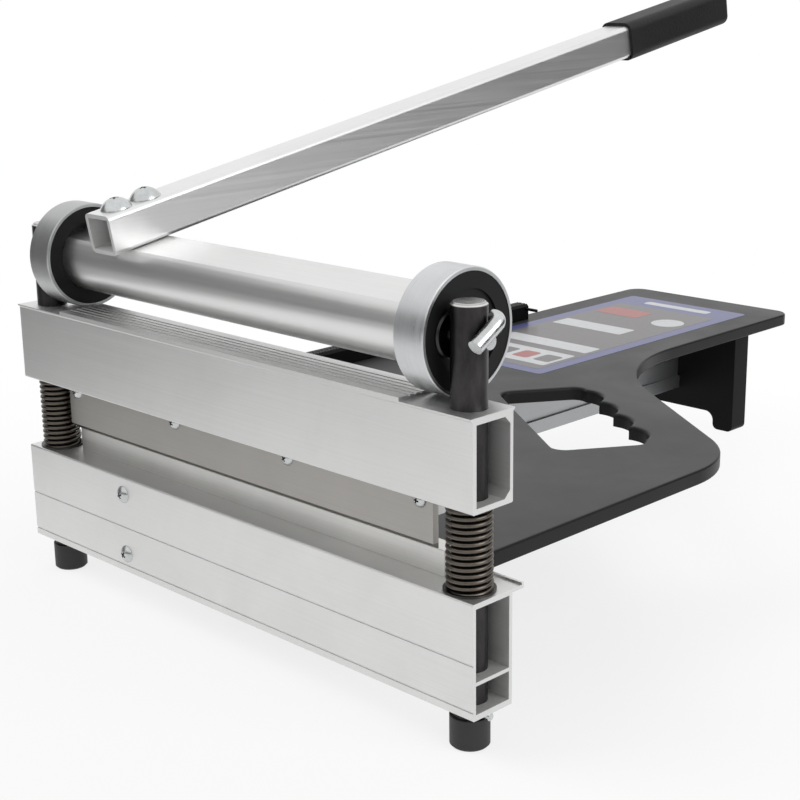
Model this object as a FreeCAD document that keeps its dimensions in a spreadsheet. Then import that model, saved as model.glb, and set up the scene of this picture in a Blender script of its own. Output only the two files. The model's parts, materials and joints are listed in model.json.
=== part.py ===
import FreeCAD, Part
import math
import os
import Sketcher

# A bench cutter for tiles and planks: a hand lever turns two eccentric rings, which press a ram
# and its blade down two posts on to an anvil. Sprung posts lift the ram again. Millimetres, +Z up,
# +X along the beams, +Y towards the table. The origin is the middle of the lower beam's top face,
# in the plane of both posts' axes.

Vector = FreeCAD.Vector
xAxis = Vector(1, 0, 0)
yAxis = Vector(0, 1, 0)
zAxis = Vector(0, 0, 1)

doc = FreeCAD.newDocument("cutter")
nodes = []

dimensions = {
    # Lower beam, an extrusion with a small duct under a large chamber and a lip for the table.
    "beam_end": 16, "beam_depth": 30, "lower_bottom": 23, "lower_height": 64.5,
    "lower_wall": 2.3, "lower_floor": 3.3, "duct_height": 16, "lower_web": 2.1, "lower_roof": 3,
    "lip_reach": 9, "lip_thickness": 2, "lip_bead": 1.2, "lip_bead_width": 1.6,
    "line_width": 1.2, "line_depth": 0.5, "low_line_height": 5.1, "high_line_height": 31.1,
    "beam_corner": 1,
    # Anvil plate between the springs.
    "anvil_length": 334, "anvil_back": 15.5, "anvil_height": 14.8, "anvil_bevel": 1,
    "shear_gap": 0.3,
    # Posts, their rubber caps, cross pins, washers and springs.
    "post_spacing": 374, "post_diameter": 19.05, "post_top": 238.5, "post_chamfer": 1.5,
    "cap_wall": 1.375, "cap_height": 17.5, "cap_floor": 4, "cap_chamfer": 1.2,
    "cross_pin_diameter": 4.6, "cross_pin_reach": 5.475, "cross_pin_chamfer": 0.5,
    "washer_reach": 1.5, "washer_thickness": 1.2,
    "spring_room": 0.575, "spring_wire": 2.4, "spring_turns": 13.5,
    "spring_wire_sides": 4, "spring_turn_steps": 12,
    # Ram, an extrusion with beads at its top edges, fine ridges and two milled seats.
    "ram_bottom": 134.7, "ram_height": 51.75, "ram_front_wall": 2.8, "ram_back_wall": 2.2,
    "ram_floor": 3, "ram_roof": 5.75, "bead_height": 4, "bead_reach": 1.3, "ram_gusset": 4,
    "seat_depth": 2, "seat_start": 153.5,
    "ridge_count": 5, "ridge_pitch": 4.4, "ridge_groove": 1.6, "ridge_depth": 0.7,
    # Blade and the bar that carries it.
    "blade_length": 334, "blade_thickness": 4, "blade_front": 1.75, "blade_height": 31.8,
    "bevel_height": 3.3, "blade_land": 0.6, "blade_offset": -4,
    "blade_screw_pitch": 105, "blade_screw_drop": 6,
    "blade_screw_head": 9.5, "blade_screw_length": 12,
    "holder_length": 330, "holder_depth": 10, "holder_height": 14.5, "holder_screw_pitch": 108,
    "holder_screw_diameter": 4.8, "holder_screw_head": 8, "holder_screw_sink": 5,
    # Eccentric rings, discs, hubs and pivot pins.
    "ring_station": 165.4, "ring_diameter": 67, "ring_width": 20.6, "ring_wall": 2.2,
    "ring_chamfer": 0.6, "cam_gap": 0.8, "cam_back": 12, "cam_drop": 1.25,
    "disc_width": 19.8, "socket_depth": 8, "recess_diameter": 45, "recess_depth": 1.5,
    "hub_diameter": 25, "hub_chamfer": 1, "pin_diameter": 8, "pin_inset": 0.5,
    "hole_chamfer": 0.9, "pin_arm_gap": 0.8, "pin_arm_tilt": 30.7, "pin_arm_lead": 10.2,
    "pin_arm_reach": 6.8, "pin_arm_rise": 5, "pin_bend": 5, "pin_leg": 0.3,
    # Tube with a milled flat, and the lever on it.
    "tube_diameter": 44, "tube_bore": 32, "tube_flat": 16.6,
    "lever_pitch": 10.4, "lever_width": 25, "lever_wall": 2.6, "lever_corner": 3.5,
    "lever_station": -96.5, "lever_front": 27, "lever_back": 615,
    "bolt_diameter": 8, "bolt_head": 20, "bolt_head_height": 6.5, "bolt_low": -12,
    "bolt_high": 10, "bolt_depth": 8,
    "grip_width": 30, "grip_corner": 7, "grip_start": 485, "grip_end": 7, "grip_end_corner": 5,
    # Table with its hand hole.
    "table_thickness": 9.6, "table_gap": 1, "table_right": 177, "table_left": 190.5,
    "table_neck": 21, "table_far": 644, "shoulder_height": 257, "shoulder_fall": 391,
    "shoulder_round": 73, "neck_round": 143, "table_round": 14, "table_edge": 1.5,
    "hand_x": 43.5, "hand_y": 257, "hand_turn": -34, "hand_length": 145, "hand_depth": 63,
    "hand_corner": 9, "finger_count": 4, "finger_pitch": 32, "finger_radius": 21, "finger_rise": 7,
    # Rail, leg and fence.
    "rail_station": 97.3, "rail_width": 16, "rail_bottom": 31, "rail_wall": 2,
    "rail_foot": 11, "rail_foot_reach": 2, "port_diameter": 9, "screw_low": 35.8,
    "screw_high": 75.9, "screw_diameter": 5.5, "screw_head": 11.5, "screw_head_height": 3.2,
    "head_rim": 0.45, "head_crown": 0.55, "screw_grip": 12, "table_tap": 6,
    "leg_start": 573, "leg_depth": 20, "leg_middle": 104, "leg_width": 146,
    "leg_wall": 3, "leg_foot": 20, "leg_arch": 15, "leg_round": 5, "leg_arch_round": 8, "leg_rib": 2.5,
    "leg_screw_pitch": 90, "fence_inset": 0.5, "fence_width": 14, "fence_height": 13.5,
    "fence_start": 60, "fence_length": 410, "fence_corner": 2, "fence_groove": 1.6,
    "fence_groove_depth": 1, "fence_groove_count": 3, "fence_groove_pitch": 4,
    "pointer_diameter": 2.6, "pointer_length": 12, "pointer_height": 9.5, "pointer_inset": 3,
    # Fits.
    "slide_gap": 0.1, "hole_gap": 0.2, "pin_gap": 0.05, "face_gap": 0.3,
}

sheet = doc.addObject("Spreadsheet::Sheet", "sizes")
for row, (alias, number) in enumerate(dimensions.items(), start=1):
    sheet.set("A%d" % row, alias)
    sheet.set("B%d" % row, str(number))
    sheet.setAlias("B%d" % row, alias)
doc.recompute()


class Size:
    # A length that carries both its number and the sheet expression it comes from.

    def __init__(self, number, text):
        self.number = number
        self.text = text

    def __add__(self, other):
        return join(self, other, "+", self.number + asSize(other).number)

    def __sub__(self, other):
        return join(self, other, "-", self.number - asSize(other).number)

    def __mul__(self, other):
        return join(self, other, "*", self.number * asSize(other).number)

    def __truediv__(self, other):
        return join(self, other, "/", self.number / asSize(other).number)

    def __neg__(self):
        return Size(-self.number, "(0 - %s)" % self.text)


def asSize(value):
    return value if isinstance(value, Size) else Size(value, repr(value))


def join(first, second, sign, number):
    return Size(number, "(%s %s %s)" % (asSize(first).text, sign, asSize(second).text))


def size(alias):
    return Size(getattr(sheet, alias), "sizes." + alias)


def count(alias):
    return int(round(getattr(sheet, alias)))


zero = asSize(0)

# Heights above the bench that several pieces share.
lowerTop = size("lower_bottom") + size("lower_height")
springSeat = lowerTop + size("washer_thickness")
ramTop = size("ram_bottom") + size("ram_height")
camHeight = ramTop - size("seat_depth") + size("cam_gap") + size("ring_diameter") / 2
pivotHeight = camHeight + size("cam_drop")
postX = size("post_spacing") / 2
beamLength = size("post_spacing") + size("beam_end") * 2
springDiameter = size("post_diameter") + (size("spring_room") + size("spring_wire")) * 2
hubFace = postX - size("post_diameter") / 2 - size("face_gap")
discFace = size("ring_station") + size("disc_width") / 2
recessFloor = discFace - size("recess_depth")
socketFloor = size("ring_station") - size("disc_width") / 2 + size("socket_depth")
bladeBack = size("blade_thickness") - size("blade_front")
holderMiddle = bladeBack + size("holder_depth") / 2
bladeScrewPlaces = [size("blade_screw_pitch") * step for step in (-1.5, -0.5, 0.5, 1.5)]
legScrewMiddle = (-size("leg_middle"), size("leg_start") + size("leg_depth") / 2)
screwHeights = {"upper": size("screw_high"), "lower": size("screw_low")}


def bind(item, **expressions):
    for name, value in expressions.items():
        item.setExpression(name, asSize(value).text)


def place(item, x=zero, y=zero, z=zero, axis=None, angle=zero):
    # Heights are given above the bench, and the origin lies on the lower beam's top face.
    shifted = asSize(z) - lowerTop
    spin = FreeCAD.Rotation(axis or zAxis, asSize(angle).number)
    item.Placement = FreeCAD.Placement(Vector(0, 0, 0), spin)
    item.setExpression("Placement.Base.x", asSize(x).text)
    item.setExpression("Placement.Base.y", asSize(y).text)
    item.setExpression("Placement.Base.z", shifted.text)
    if axis is not None:
        item.setExpression("Placement.Rotation.Angle", asSize(angle).text)


def keep(item, label):
    item.Label = label
    nodes.append(item)
    return item


# Sketches and features.

def newBody(label, **where):
    body = doc.addObject("PartDesign::Body", label + "_body")
    keep(body, label)
    place(body, **where)
    return body


def newSketch(body, role, offset=None):
    sketch = body.newObject("Sketcher::SketchObject", body.Name + "_sketch")
    plane = [item for item in body.Origin.OriginFeatures if item.Role == role][0]
    sketch.AttachmentSupport = [(plane, "")]
    sketch.MapMode = "FlatFace"
    if offset is not None:
        sketch.setExpression("AttachmentOffset.Base.z", asSize(offset).text)
    return sketch


def pin(sketch, geometry, vertex, x, y):
    for kind, value in (("DistanceX", asSize(x)), ("DistanceY", asSize(y))):
        index = sketch.addConstraint(Sketcher.Constraint(kind, -1, 1, geometry, vertex, value.number))
        sketch.setExpression("Constraints[%d]" % index, value.text)


def drawOutline(sketch, corners):
    points = [Vector(asSize(x).number, asSize(y).number, 0) for x, y in corners]
    first = sketch.GeometryCount
    for index, point in enumerate(points):
        sketch.addGeometry(Part.LineSegment(point, points[(index + 1) % len(points)]), False)
    for index, (x, y) in enumerate(corners):
        previous = first + (index - 1) % len(points)
        sketch.addConstraint(Sketcher.Constraint("Coincident", previous, 2, first + index, 1))
        pin(sketch, first + index, 1, x, y)


def drawBlock(sketch, left, bottom, right, top):
    drawOutline(sketch, [(left, bottom), (right, bottom), (right, top), (left, top)])


def drawCircle(sketch, x, y, diameter):
    centre = Vector(asSize(x).number, asSize(y).number, 0)
    radius = asSize(diameter).number / 2
    index = sketch.addGeometry(Part.Circle(centre, Vector(0, 0, 1), radius), False)
    pin(sketch, index, 3, x, y)
    constraint = sketch.addConstraint(Sketcher.Constraint("Diameter", index, 2 * radius))
    sketch.setExpression("Constraints[%d]" % constraint, asSize(diameter).text)


def addFeature(body, kind, sketch, length=None, both=False, back=False, through=False):
    feature = body.newObject("PartDesign::" + kind, body.Name + "_" + kind.lower())
    feature.Profile = sketch
    feature.Reversed = back
    feature.Midplane = both
    if through:
        feature.Type = "ThroughAll"
    else:
        bind(feature, Length=length)
    sketch.Visibility = False
    doc.recompute()
    return feature


def pad(body, sketch, length, **options):
    return addFeature(body, "Pad", sketch, length, **options)


def pocket(body, sketch, length=None, **options):
    before = body.Shape.Volume
    feature = addFeature(body, "Pocket", sketch, length, through=length is None, **options)
    if body.Shape.Volume >= before:
        raise RuntimeError("a pocket in %s cuts nothing" % body.Label)
    return feature


def revolve(body, sketch):
    feature = body.newObject("PartDesign::Revolution", body.Name + "_revolution")
    feature.Profile = sketch
    feature.ReferenceAxis = (sketch, ["V_Axis"])
    feature.Angle = 360
    doc.recompute()
    return feature


def dress(body, kind, wanted, **expressions):
    base = body.Tip
    names = ["Edge%d" % (i + 1) for i, edge in enumerate(base.Shape.Edges) if wanted(edge)]
    if not names:
        raise RuntimeError("no edge to dress on " + body.Label)
    feature = body.newObject("PartDesign::" + kind, body.Name + "_" + kind.lower())
    feature.Base = (base, names)
    bind(feature, **expressions)
    doc.recompute()
    return feature


def near(first, second, slack=0.01):
    return abs(first - asSize(second).number) < slack


def runsAlong(edge, axis):
    if not isinstance(edge.Curve, Part.Line):
        return False
    return abs(abs(edge.tangentAt(edge.FirstParameter).dot(axis)) - 1) < 1e-6


def passes(edge, **places):
    # True where a straight edge's middle has the given x, y or z.
    middle = edge.CenterOfMass
    return all(near(getattr(middle, name), value) for name, value in places.items())


# Solids from primitives.

def cylinder(name, diameter, length, start=zero, y=zero, z=zero, side=1, upright=False):
    # A cylinder on Z, or on X from a start point that is mirrored for the far side.
    solid = doc.addObject("Part::Cylinder", name)
    bind(solid, Radius=asSize(diameter) / 2, Height=length)
    if upright:
        solid.setExpression("Placement.Base.x", asSize(start).text)
    else:
        solid.Placement = FreeCAD.Placement(Vector(0, 0, 0), FreeCAD.Rotation(yAxis, 90))
        first = asSize(start) if side > 0 else -(asSize(start) + length)
        solid.setExpression("Placement.Base.x", first.text)
    solid.setExpression("Placement.Base.y", asSize(y).text)
    solid.setExpression("Placement.Base.z", asSize(z).text)
    return solid


def cut(name, base, *tools):
    result = doc.addObject("Part::Cut", name)
    result.Base = base
    result.Tool = tools[0] if len(tools) == 1 else fuse(name + "_tools", *tools)
    doc.recompute()
    return result


def fuse(name, *parts):
    result = doc.addObject("Part::MultiFuse", name)
    result.Shapes = list(parts)
    doc.recompute()
    return result


def bevel(name, base, amount, wanted):
    doc.recompute()
    result = doc.addObject("Part::Chamfer", name)
    result.Base = base
    reach = asSize(amount).number
    edges = enumerate(base.Shape.Edges, start=1)
    result.Edges = [(index, reach, reach) for index, edge in edges if wanted(edge)]
    doc.recompute()
    return result


def isCircle(edge, diameter):
    return isinstance(edge.Curve, Part.Circle) and near(edge.Curve.Radius * 2, diameter)


# Lower beam, anvil, posts.

def groove(face, centre, width, depth):
    # Four corners of a groove in an upright face, from its lower edge to its upper one.
    half = asSize(width) / 2
    return [(face, centre - half), (face + depth, centre - half),
            (face + depth, centre + half), (face, centre + half)]


def makeLowerBeam():
    body = newBody("lower_beam", z=size("lower_bottom"))
    face = size("beam_depth") / 2
    top = size("lower_height")
    lipEnd = face + size("lip_reach")
    outline = [(-face, zero)]
    for line in ("low_line_height", "high_line_height"):
        outline += groove(-face, size(line), size("line_width"), size("line_depth"))
    outline += [(-face, top), (lipEnd - size("lip_bead_width"), top),
                (lipEnd - size("lip_bead_width"), top + size("lip_bead")),
                (lipEnd, top + size("lip_bead")), (lipEnd, top - size("lip_thickness")),
                (face, top - size("lip_thickness")), (face, zero)]
    profile = newSketch(body, "YZ_Plane")
    drawOutline(profile, outline)
    inner = face - size("lower_wall")
    ductTop = size("lower_floor") + size("duct_height")
    drawBlock(profile, -inner, size("lower_floor"), inner, ductTop)
    drawBlock(profile, -inner, ductTop + size("lower_web"), inner, top - size("lower_roof"))
    pad(body, profile, beamLength, both=True)
    posts = newSketch(body, "XY_Plane")
    for side in (-1, 1):
        drawCircle(posts, postX * side, zero, size("post_diameter") + size("hole_gap"))
    pocket(body, posts, both=True)
    screws = newSketch(body, "XZ_Plane")
    for height in screwHeights.values():
        drawCircle(screws, -size("rail_station"), height - size("lower_bottom"),
                   size("screw_diameter") + size("hole_gap"))
    pocket(body, screws, both=True)

    def onFrontCorner(edge):
        outermost = passes(edge, y=-face, z=zero) or passes(edge, y=-face, z=top)
        return runsAlong(edge, xAxis) and outermost

    dress(body, "Fillet", onFrontCorner, Radius=size("beam_corner"))


def makeAnvil():
    # The blade passes the anvil's sharp front edge, as in a shear.
    body = newBody("anvil_bar", z=lowerTop)
    outline = newSketch(body, "YZ_Plane")
    height = size("anvil_height")
    step = size("anvil_bevel")
    front = bladeBack + size("shear_gap")
    back = size("anvil_back")
    drawOutline(outline, [(front, zero), (back, zero), (back, height - step), (back - step, height),
                          (front, height)])
    pad(body, outline, size("anvil_length"), both=True)


def makePost(label, side):
    body = newBody(label, x=postX * side, z=size("cap_floor"))
    radius = size("post_diameter") / 2
    tall = size("post_top") - size("cap_floor")
    turn = size("post_chamfer")
    profile = newSketch(body, "XZ_Plane")
    drawOutline(profile, [(zero, zero), (radius - turn, zero), (radius, turn),
                          (radius, tall - turn), (radius - turn, tall), (zero, tall)])
    revolve(body, profile)
    holes = newSketch(body, "YZ_Plane")
    drawCircle(holes, zero, pivotHeight - size("cap_floor"), size("pin_diameter") + size("hole_gap"))
    crossHeight = (size("cap_height") + size("lower_bottom")) / 2
    drawCircle(holes, zero, crossHeight - size("cap_floor"), size("cross_pin_diameter"))
    pocket(body, holes, both=True)
    rim = size("pin_diameter") + size("hole_gap")

    def onPivotRim(edge):
        middle = edge.BoundBox.Center
        reach = near(edge.BoundBox.ZLength, rim, 0.05)
        return reach and near(middle.z, pivotHeight - size("cap_floor"), 0.05)

    dress(body, "Chamfer", onPivotRim, Size=size("hole_chamfer"))


def makeFootCap(label, side):
    body = newBody(label, x=postX * side)
    bore = size("post_diameter") / 2
    radius = bore + size("cap_wall")
    turn = size("cap_chamfer")
    profile = newSketch(body, "XZ_Plane")
    drawOutline(profile, [(zero, zero), (radius - turn, zero), (radius, turn),
                          (radius, size("cap_height")), (bore, size("cap_height")),
                          (bore, size("cap_floor")), (zero, size("cap_floor"))])
    revolve(body, profile)


def makeCrossPin(label, side):
    height = (size("cap_height") + size("lower_bottom")) / 2
    length = size("post_diameter") + size("cross_pin_reach") * 2
    start = postX - length / 2
    solid = cylinder(label + "_rod", size("cross_pin_diameter"), length, start, side=side)
    shaped = bevel(label + "_pin", solid, size("cross_pin_chamfer"),
                   lambda edge: isCircle(edge, size("cross_pin_diameter")))
    keep(shaped, label)
    shaped.setExpression("Placement.Base.z", (height - lowerTop).text)


def makeWasher(label, side):
    bore = size("post_diameter") + size("face_gap") * 2
    disc = cylinder(label + "_disc", springDiameter + size("washer_reach") * 2,
                    size("washer_thickness"), postX * side, upright=True)
    hole = cylinder(label + "_hole", bore, size("washer_thickness"), postX * side, upright=True)
    ring = cut(label + "_ring", disc, hole)
    keep(ring, label)
    place(ring, z=lowerTop)


def coil(middle, wire, pitch, turns):
    # A coil on Z made of straight runs, which keeps its faces flat and few. It starts a turn low.
    sides = count("spring_wire_sides")
    steps = count("spring_turn_steps")
    rings = []
    for number in range(int(steps * (turns + 2)) + 1):
        angle = 2 * math.pi * number / steps
        lift = pitch * (number / steps - 1)
        ring = []
        for side in range(sides):
            around = 2 * math.pi * side / sides
            reach = middle + wire / 2 * math.cos(around)
            ring.append(Vector(reach * math.cos(angle), reach * math.sin(angle),
                               lift + wire / 2 * math.sin(around)))
        rings.append(ring)
    faces = [Part.Face(Part.makePolygon(end + end[:1])) for end in (rings[0], rings[-1])]
    for lower, upper in zip(rings, rings[1:]):
        for side in range(sides):
            after = (side + 1) % sides
            for corners in ((lower[side], lower[after], upper[after]),
                            (lower[side], upper[after], upper[side])):
                faces.append(Part.Face(Part.makePolygon(list(corners) + [corners[0]])))
    shell = Part.Shell(faces)
    shell.sewShape()
    return Part.Solid(shell)


def makeSpring(label, side):
    # The coil starts and ends outside the gap, so that the gap's height grinds both ends flat.
    gap = size("ram_bottom") - springSeat
    pitch = gap / size("spring_turns")
    middle = (springDiameter - size("spring_wire")) / 2
    wire = doc.addObject("Part::Feature", label + "_wire")
    wire.Shape = coil(middle.number, size("spring_wire").number, pitch.number,
                      size("spring_turns").number)
    room = cylinder(label + "_room", springDiameter + size("spring_wire"), gap, upright=True)
    ground = doc.addObject("Part::Common", label + "_ground")
    ground.Base = wire
    ground.Tool = room
    doc.recompute()
    keep(ground, label)
    place(ground, x=postX * side, z=springSeat)


# Ram, blade and its bar.

def makeRam():
    body = newBody("upper_beam", z=size("ram_bottom"))
    face = size("beam_depth") / 2
    top = size("ram_height")
    beadFace = face + size("bead_reach")
    beadFoot = top - size("bead_height")
    outline = [(-face, zero), (-face, beadFoot), (-beadFace, beadFoot + size("bead_reach")),
               (-beadFace, top)]
    span = size("ridge_pitch") * (count("ridge_count") - 1)
    for number in range(count("ridge_count")):
        centre = size("ridge_pitch") * number - span / 2
        half = size("ridge_groove") / 2
        low = top - size("ridge_depth")
        outline += [(centre - half, top), (centre - half, low), (centre + half, low),
                    (centre + half, top)]
    outline += [(beadFace, top), (beadFace, beadFoot + size("bead_reach")), (face, beadFoot),
                (face, zero)]
    profile = newSketch(body, "YZ_Plane")
    drawOutline(profile, outline)
    front = -face + size("ram_front_wall")
    back = face - size("ram_back_wall")
    floor = size("ram_floor")
    roof = top - size("ram_roof")
    gusset = size("ram_gusset")
    drawOutline(profile, [(front, floor), (back - gusset, floor), (back, floor + gusset),
                          (back, roof - gusset), (back - gusset, roof), (front, roof)])
    pad(body, profile, beamLength, both=True)
    seats = newSketch(body, "XZ_Plane")
    end = beamLength / 2
    for side in (-1, 1):
        drawBlock(seats, size("seat_start") * side, top - size("seat_depth"), end * side, top)
    pocket(body, seats, both=True)
    posts = newSketch(body, "XY_Plane")
    for side in (-1, 1):
        drawCircle(posts, postX * side, zero, size("post_diameter") + size("slide_gap") * 2)
    pocket(body, posts, both=True)
    screws = newSketch(body, "XY_Plane")
    for step in (-1, 0, 1):
        drawCircle(screws, size("holder_screw_pitch") * step + size("blade_offset"), holderMiddle,
                   size("holder_screw_diameter"))
    pocket(body, screws, size("ram_floor"), back=True)

    def onLowerCorner(edge):
        outermost = passes(edge, y=-face, z=zero) or passes(edge, y=face, z=zero)
        return runsAlong(edge, xAxis) and outermost

    dress(body, "Fillet", onLowerCorner, Radius=size("beam_corner"))


def makeBlade():
    body = newBody("blade", x=size("blade_offset"), z=size("ram_bottom") - size("blade_height"))
    front = -size("blade_front")
    profile = newSketch(body, "YZ_Plane")
    drawOutline(profile, [(bladeBack, zero), (bladeBack, size("blade_height")),
                          (front, size("blade_height")), (front, size("bevel_height")),
                          (bladeBack - size("blade_land"), zero)])
    pad(body, profile, size("blade_length"), both=True)
    holes = newSketch(body, "XZ_Plane")
    for x in bladeScrewPlaces:
        drawCircle(holes, x, size("blade_height") - size("blade_screw_drop"), size("screw_diameter"))
    pocket(body, holes, both=True)


def makeHolder():
    body = newBody("blade_holder", x=size("blade_offset"), z=size("ram_bottom") - size("holder_height"))
    profile = newSketch(body, "YZ_Plane")
    drawBlock(profile, bladeBack, zero, bladeBack + size("holder_depth"), size("holder_height"))
    pad(body, profile, size("holder_length"), both=True)
    taps = newSketch(body, "XZ_Plane", offset=-bladeBack)
    for x in bladeScrewPlaces:
        drawCircle(taps, x, size("holder_height") - size("blade_screw_drop"), size("screw_diameter"))
    pocket(body, taps, size("blade_thickness") * 2)
    for diameter, depth in (("holder_screw_diameter", None), ("holder_screw_head", "holder_screw_sink")):
        bores = newSketch(body, "XY_Plane")
        for step in (-1, 0, 1):
            drawCircle(bores, size("holder_screw_pitch") * step, holderMiddle, size(diameter))
        pocket(body, bores, size(depth) if depth else None, back=True)


def makeScrew(label, diameter, head, headHeight, length, **where):
    # A pan-head screw on Z whose shank starts at the origin and runs down.
    body = newBody(label, **where)
    radius = asSize(diameter) / 2
    crown = asSize(head) / 2
    rise = asSize(headHeight)
    profile = newSketch(body, "XZ_Plane")
    drawOutline(profile, [(zero, -length), (radius, -length), (radius, zero), (crown, zero),
                          (crown, rise * size("head_rim")), (crown * size("head_crown"), rise),
                          (zero, rise)])
    revolve(body, profile)
    return body


def makeBladeScrews():
    for number, x in enumerate(bladeScrewPlaces, start=1):
        makeScrew("blade_screw_%d" % number, size("screw_diameter"), size("blade_screw_head"),
                  size("screw_head_height"), size("blade_screw_length"),
                  x=x + size("blade_offset"),
                  y=-size("blade_front"), z=size("ram_bottom") - size("blade_screw_drop"),
                  axis=xAxis, angle=90)


def makeHolderScrews():
    seat = size("ram_bottom") - size("holder_height") + size("holder_screw_sink")
    length = size("ram_bottom") - seat + size("ram_floor")
    for number, step in enumerate((-1, 0, 1), start=1):
        makeScrew("holder_screw_%d" % number, size("holder_screw_diameter"),
                  size("holder_screw_head"), size("screw_head_height"), length,
                  x=size("holder_screw_pitch") * step + size("blade_offset"), y=holderMiddle, z=seat,
                  axis=xAxis, angle=180)


# Eccentric rings, discs, hubs and pivot pins. They are drawn about their own axes.

def makeRing(label, side):
    start = size("ring_station") - size("ring_width") / 2
    outer = cylinder(label + "_outer", size("ring_diameter"), size("ring_width"), start, side=side)
    inner = size("ring_diameter") - size("ring_wall") * 2
    bore = cylinder(label + "_bore", inner, size("ring_width"), start, side=side)
    band = cut(label + "_band", outer, bore)
    shaped = bevel(label + "_rim", band, size("ring_chamfer"),
                   lambda edge: isCircle(edge, size("ring_diameter")))
    keep(shaped, label)
    place(shaped, y=size("cam_back"), z=camHeight)


def makeDisc(label, side):
    outer = size("ring_diameter") - size("ring_wall") * 2
    start = size("ring_station") - size("disc_width") / 2
    disc = cylinder(label + "_blank", outer, size("disc_width"), start, side=side)
    socket = cylinder(label + "_socket", size("tube_diameter") + size("slide_gap") * 2,
                      size("socket_depth"), start, side=side)
    recess = cylinder(label + "_recess", size("recess_diameter"), size("recess_depth"),
                      recessFloor, side=side)
    seat = cylinder(label + "_seat", size("hub_diameter"), size("recess_depth"), recessFloor,
                    y=-size("cam_back"), z=size("cam_drop"), side=side)
    bore = cylinder(label + "_bore", size("pin_diameter") + size("pin_gap") * 2,
                    recessFloor - socketFloor, socketFloor,
                    y=-size("cam_back"), z=size("cam_drop"), side=side)
    disc = keep(cut(label + "_cut", disc, socket, recess, seat, bore), label)
    place(disc, y=size("cam_back"), z=camHeight)


def makeHub(label, side):
    length = hubFace - recessFloor
    blank = cylinder(label + "_blank", size("hub_diameter"), length, recessFloor, side=side)
    bore = cylinder(label + "_bore", size("pin_diameter") + size("pin_gap") * 2, length,
                    recessFloor, side=side)
    ring = cut(label + "_ring", blank, bore)

    def onOuterRim(edge):
        return isCircle(edge, size("hub_diameter")) and near(edge.CenterOfMass.x * side, hubFace)

    shaped = keep(bevel(label + "_rim", ring, size("hub_chamfer"), onOuterRim), label)
    place(shaped, z=pivotHeight)


def makeNearPin():
    # A shank through the post and hub, with a bent arm across its outer end.
    thick = size("pin_diameter")
    armX = postX + size("post_diameter") / 2 + size("pin_arm_gap") + thick / 2
    start = socketFloor + size("pin_inset")
    shank = cylinder("near_pivot_pin_shank", thick, armX - start, start)
    arm = cylinder("near_pivot_pin_arm", thick, size("pin_arm_lead") + size("pin_arm_reach"),
                   upright=True)
    arm.Placement = FreeCAD.Placement(Vector(0, 0, 0), FreeCAD.Rotation(xAxis, -90))
    arm.setExpression("Placement.Base.x", armX.text)
    arm.setExpression("Placement.Base.y", (-size("pin_arm_lead")).text)
    arm.setExpression("Placement.Base.z", size("pin_arm_rise").text)
    bend = doc.addObject("Part::Torus", "near_pivot_pin_bend")
    bind(bend, Radius1=size("pin_bend"), Radius2=thick / 2)
    bend.Angle3 = 90
    bend.setExpression("Placement.Base.x", (armX - size("pin_bend")).text)
    bend.setExpression("Placement.Base.y", size("pin_arm_reach").text)
    bend.setExpression("Placement.Base.z", size("pin_arm_rise").text)
    leg = cylinder("near_pivot_pin_leg", thick, size("pin_leg"),
                   armX - size("pin_bend") - size("pin_leg"),
                   y=size("pin_arm_reach") + size("pin_bend"))
    leg.setExpression("Placement.Base.z", size("pin_arm_rise").text)
    whole = keep(fuse("near_pivot_pin_whole", shank, arm, bend, leg), "near_pivot_pin")
    place(whole, z=pivotHeight, axis=xAxis, angle=size("pin_arm_tilt"))


def makeFarPin():
    start = socketFloor + size("pin_inset")
    end = postX + size("post_diameter") / 2
    rod = cylinder("far_pivot_pin_rod", size("pin_diameter"), end - start, start, side=-1)
    keep(rod, "far_pivot_pin")
    rod.setExpression("Placement.Base.z", (pivotHeight - lowerTop).text)


# The tube and lever are drawn about the rings' axis, with Y along the lever.

def placeOnCam(item, x=zero):
    place(item, x=x, y=size("cam_back"), z=camHeight, axis=xAxis, angle=size("lever_pitch"))


def makeTube():
    body = newBody("cam_tube")
    placeOnCam(body)
    profile = newSketch(body, "YZ_Plane")
    drawCircle(profile, zero, zero, size("tube_diameter"))
    drawCircle(profile, zero, zero, size("tube_bore"))
    pad(body, profile, socketFloor * 2, both=True)
    flat = newSketch(body, "YZ_Plane")
    radius = size("tube_diameter") / 2
    drawBlock(flat, -radius, size("tube_flat"), radius, radius + 1)
    pocket(body, flat, both=True)
    holes = newSketch(body, "XY_Plane")
    for station in ("bolt_low", "bolt_high"):
        drawCircle(holes, size("lever_station"), size(station), size("bolt_diameter"))
    pocket(body, holes, radius + 1, back=True)


def makeLever():
    body = newBody("lever_bar")
    placeOnCam(body, x=size("lever_station"))
    half = size("lever_width") / 2
    low = size("tube_flat")
    high = low + size("lever_width")
    wall = size("lever_wall")
    profile = newSketch(body, "XZ_Plane", offset=size("lever_front"))
    drawBlock(profile, -half, low, half, high)
    drawBlock(profile, -half + wall, low + wall, half - wall, high - wall)
    pad(body, profile, size("lever_front") + size("lever_back"), back=True)

    def onOuterCorner(edge):
        return runsAlong(edge, yAxis) and near(abs(edge.CenterOfMass.x), half)

    dress(body, "Fillet", onOuterCorner, Radius=size("lever_corner"))
    holes = newSketch(body, "XY_Plane")
    for station in ("bolt_low", "bolt_high"):
        drawCircle(holes, zero, size(station), size("bolt_diameter") + size("hole_gap"))
    pocket(body, holes, high + 1, back=True)


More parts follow.
